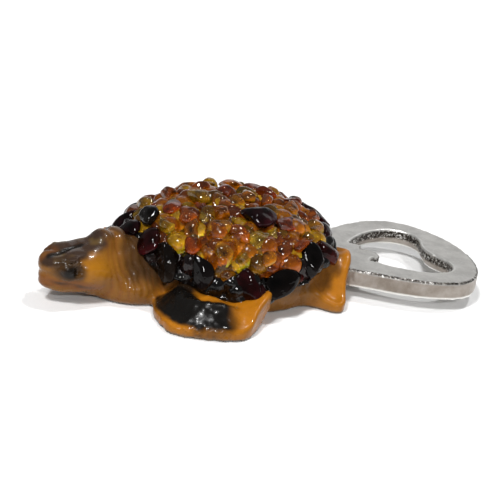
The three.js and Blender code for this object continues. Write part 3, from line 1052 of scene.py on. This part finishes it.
def ico(level):
    """Unit icosphere as points and triangles."""
    golden = (1 + math.sqrt(5)) / 2
    points = []
    for a in (-1, 1):
        for b in (-golden, golden):
            points += [(a, b, 0), (0, a, b), (b, 0, a)]
    points = np.array(points, float)
    points /= np.linalg.norm(points[0])
    edge = np.linalg.norm(points[:, None] - points[None], axis=2)
    near = (edge > 0.1) & (edge < 1.2)
    faces = []
    for i, j, k in itertools.combinations(range(12), 3):
        if near[i, j] and near[j, k] and near[i, k]:
            turn = np.dot(np.cross(points[j] - points[i], points[k] - points[i]), points[i])
            faces.append((i, j, k) if turn > 0 else (i, k, j))
    for _ in range(level):
        points, faces = split_triangles(points, faces)
    return points, faces


SPHERES = {level: ico(level) for level in (3, 4)}


def pebble(centre, axes, size, seed, level, facets, lump):
    """A tumbled chip: a sphere cut flat in a few random places, stretched and made uneven."""
    rng = np.random.default_rng(seed)
    shape, faces = SPHERES[level]
    reach = np.ones(len(shape))
    for _ in range(facets):
        way = rng.normal(size=3)
        way /= np.linalg.norm(way)
        depth = rng.uniform(0.55, 0.85)
        across = shape @ way
        limit = np.where(across > depth, depth / np.maximum(across, 1e-6), 1)
        reach = np.minimum(reach, 0.15 + 0.85 * limit)
    lumps = noise(*(shape * 1.3 + rng.uniform(0, 30, 3)).T, 1.0, 31)
    shape = shape * (reach * (1 + lump * lumps))[:, None]
    points = centre + (shape * size) @ np.array(axes)
    return points, faces


def node_points(name):
    mesh = frame["nodes"][name].data
    points = np.empty(len(mesh.vertices) * 3, np.float32)
    mesh.vertices.foreach_get("co", points)
    return points.reshape(-1, 3).astype(float) / MM


def slot_of(name):
    for part in frame["record"]["subparts"]:
        if part["node"] == name:
            return part["material_slot"]


def make_chip(number, name):
    """A pebble that fits the CAD chip of this name; gives its place and radius on the bed."""
    points = node_points(name)
    centre = points.mean(0)
    normal = dome_normal(*centre)
    spread = (points - centre) - np.outer((points - centre) @ normal, normal)
    along = np.linalg.eigh(spread.T @ spread)[1][:, 2]
    axes = [along, np.cross(normal, along), normal]
    size = np.array([np.abs((points - centre) @ axis).max() for axis in axes])
    slot = slot_of(name)
    dark = slot in DARK_SLOTS
    size *= RNG.uniform((0.9, 0.7, 0.9), (1.1, 0.9, 1.1)) * (0.95 if dark else 0.84)
    size[2] = max(size[2], THINNEST)
    centre = centre + axes[0] * RNG.uniform(-0.7, 0.7) + axes[1] * RNG.uniform(-0.7, 0.7)
    shape, faces = pebble(centre, axes, size, number, 4, 6 if dark else 9, 0.12)
    shape = relax(shape, faces, TRIANGLE_LINKS, 4 if dark else 2, 0.5)
    paint = paint_chip(shape, slot)
    new_piece(name + "_pebble", shape, faces, slot, [name], {"paint": paint})
    return centre, size[:2].mean()


def make_chips():
    names = sorted(name for name in frame["nodes"] if name.startswith(CHIP_ROWS))
    return [make_chip(number, name) for number, name in enumerate(names)]


def on_bed(down, turn):
    """A place on the glue, by its angle from the top and its angle round."""
    way = np.array([math.sin(down) * math.cos(turn), math.sin(down) * math.sin(turn), math.cos(down)])
    way *= np.array(DOME_SIZE) + BED
    return DOME_CENTRE + way / dome_reach(*(way + DOME_CENTRE), BED)


def spiral(count, widest):
    """Places spread evenly over the glue down to widest degrees from the top."""
    for k in range(count):
        down = math.acos(1 - (1 - math.cos(math.radians(widest))) * (k + 0.5) / count)
        yield on_bed(down, k * SPIRAL_TURN)


def gaps_between(chips):
    """Number, place and radius of small chips that fill the gaps, the largest gap first."""
    places = np.array(list(spiral(1600, 88)))
    gaps = np.full(len(places), 9.0)
    for centre, radius in chips:
        gaps = np.minimum(gaps, np.linalg.norm(places - centre, axis=1) - radius)
    for number in range(MOST_SMALL_CHIPS):
        best = int(np.argmax(gaps))
        radius = min(gaps[best] * 1.15, RNG.uniform(1.6, 2.7))
        if radius < SMALLEST:
            return
        gaps = np.minimum(gaps, np.linalg.norm(places - places[best], axis=1) - radius)
        gaps[best] = -1
        if below_edge(places[best]) <= -0.3 * radius:
            yield number, places[best], radius


def lying_axes(normal, turn):
    """Axes of a chip that lies on a surface, turned about its normal."""
    side = np.cross((0, 0, 1), normal)
    if np.linalg.norm(side) < 0.2:
        side = np.array([1.0, 0, 0]) - normal * normal[0]
    side /= np.linalg.norm(side)
    along = side * math.cos(turn) + np.cross(normal, side) * math.sin(turn)
    return [along, np.cross(normal, along), normal]


def small_slot(place):
    """Dark amber near the rim of the shell, and a mixture of bright tones above it."""
    pick = RNG.random()
    if below_edge(place) > -DARK_BAND:
        return "black_amber" if pick < 0.6 else "cherry_amber"
    return "honey_amber" if pick < 0.6 else "lemon_amber" if pick < 0.8 else "cognac_amber"


def make_small_chips(chips):
    groups = {}
    for number, place, radius in gaps_between(chips):
        normal = dome_normal(*place)
        axes = lying_axes(normal, RNG.uniform(0, math.pi))
        size = radius * RNG.uniform((1.05, 0.75, 0.8), (1.7, 1.1, 1.15))
        centre = place + normal * radius * 0.3
        shape, faces = pebble(centre, axes, size, SMALL_CHIP_SEED + number, 3, 12, 0.2)
        shape = relax(shape, faces, TRIANGLE_LINKS, 1, 0.5)
        slot = small_slot(place)
        groups.setdefault(slot, []).append((shape, faces, paint_chip(shape, slot)))
    for slot, parts in sorted(groups.items()):
        starts = np.cumsum([0] + [len(shape) for shape, _, _ in parts])
        points = np.concatenate([shape for shape, _, _ in parts])
        faces = np.concatenate([cells + start for (_, cells, _), start in zip(parts, starts)])
        paint = np.concatenate([tones for _, _, tones in parts])
        name = "small_" + slot.replace("_amber", "_chips")
        new_piece(name, points, faces, slot, (), {"paint": paint})


# ---------- shell: epoxy with crushed amber ----------
CRUMB_TONES = [
    (234, 150, 18), (216, 126, 10), (192, 102, 8), (160, 80, 8), (134, 62, 8), (250, 190, 36),
    (136, 92, 18),
]
DARK_CRUMBS = [(18, 13, 12), (30, 14, 12), (12, 10, 10)]
CRUMB_COUNT = 430
CRUMB_BOX = 3.0  # half the side of the block of the grid that a crumb changes
EPOXY_PITCH = 0.36
EPOXY_LOW, EPOXY_HIGH = (-36.08, -23.94, 3.2), (19.5, 23.9, 21.9)


def epoxy_crumbs():
    """Grains of crushed amber: the centre, radius, half sizes and colour of each."""
    rng = np.random.default_rng(12)
    for place in spiral(CRUMB_COUNT, 92):
        radius = rng.uniform(1.3, 2.6)
        centre = place + dome_normal(*place) * rng.uniform(-0.6, 0.3) + rng.normal(0, 0.4, 3)
        size = radius * rng.uniform(0.75, 1.25, 3)
        dark = below_edge(place) > -DARK_BAND + rng.normal(0, 0.3)
        tones = DARK_CRUMBS if dark else CRUMB_TONES
        yield centre, radius, size, srgb(*tones[int(rng.integers(len(tones)))])


def epoxy_field(crumbs):
    """The glue between the dome and the chips, with its crumbs melted into one wet skin."""
    p = grid(EPOXY_LOW, EPOXY_HIGH, EPOXY_PITCH)
    bed = dome_field(p, BED + 0.6)
    for centre, _, size, _ in crumbs:
        first = [max(int((centre[n] - EPOXY_LOW[n] - CRUMB_BOX) / EPOXY_PITCH), 0) for n in range(3)]
        last = [max(int((centre[n] - EPOXY_LOW[n] + CRUMB_BOX) / EPOXY_PITCH), 0) for n in range(3)]
        block = tuple(slice(a, b) for a, b in zip(first, last))
        near = tuple(axis[block] for axis in p)
        bed[block] = merge(bed[block], ellipsoid(near, centre, size), 0.16)
    bed = np.maximum(bed, -dome_field(p, 0.12))
    return np.maximum(bed, below_edge(p) - 0.2)


def paint_epoxy(points, crumbs):
    """Each place has the colour of its nearest crumb, with a painted glow where light would come out of it
    and painted shade on the other side.
    """
    best = np.full(len(points), 1e9)
    paint = np.zeros((len(points), 3))
    for centre, radius, _, tone in crumbs:
        far = np.linalg.norm(points - centre, axis=1) - radius
        closer = far < best
        best[closer] = far[closer]
        painted_glow = step(-0.4, 1.0, (points[closer] - centre) @ PAINTED_GLOW_WAY / radius)
        # painted shade (0.4 of the tone) and a painted glow (up to 1.5 more) on each crumb
        paint[closer] = tone[None, :] * (0.4 + 1.5 * painted_glow)[:, None]
    return np.clip(paint, 0, 1)


def make_epoxy():
    crumbs = list(epoxy_crumbs())
    points, quads = skin(epoxy_field(crumbs), EPOXY_LOW, EPOXY_PITCH)
    paint = {"paint": paint_epoxy(points, crumbs)}
    new_piece("amber_epoxy", points, quads, "epoxy", ["epoxy_bed"], paint)


# ---------- magnets ----------
def ferrite_material():
    shader = Shader("ferrite_discs")
    grain = shader.ramp(shader.noise(1800, 4, 0.7), [(0.35, srgb(38, 38, 40)), (0.7, srgb(72, 72, 74))])
    shader.link(grain, "Base Color")
    shader.link(shader.range(shader.noise(700, 3), 0.45, 0.7), "Roughness")
    shader.bump(shader.noise(2200, 4, 0.7), 0.4, 0.0001)
    shader.set(Metallic=0.3)
    return shader.material


def dress_magnets():
    material = ferrite_material()
    for name in ("front_magnet", "rear_magnet"):
        node = frame["nodes"][name]
        for slot in node.material_slots:
            slot.material = material


bpy.context.scene.view_settings.view_transform = "Standard"
add_camera()
add_studio()
add_floor()
make_body()
make_plate()
make_epoxy()
make_small_chips(make_chips())
dress_magnets()
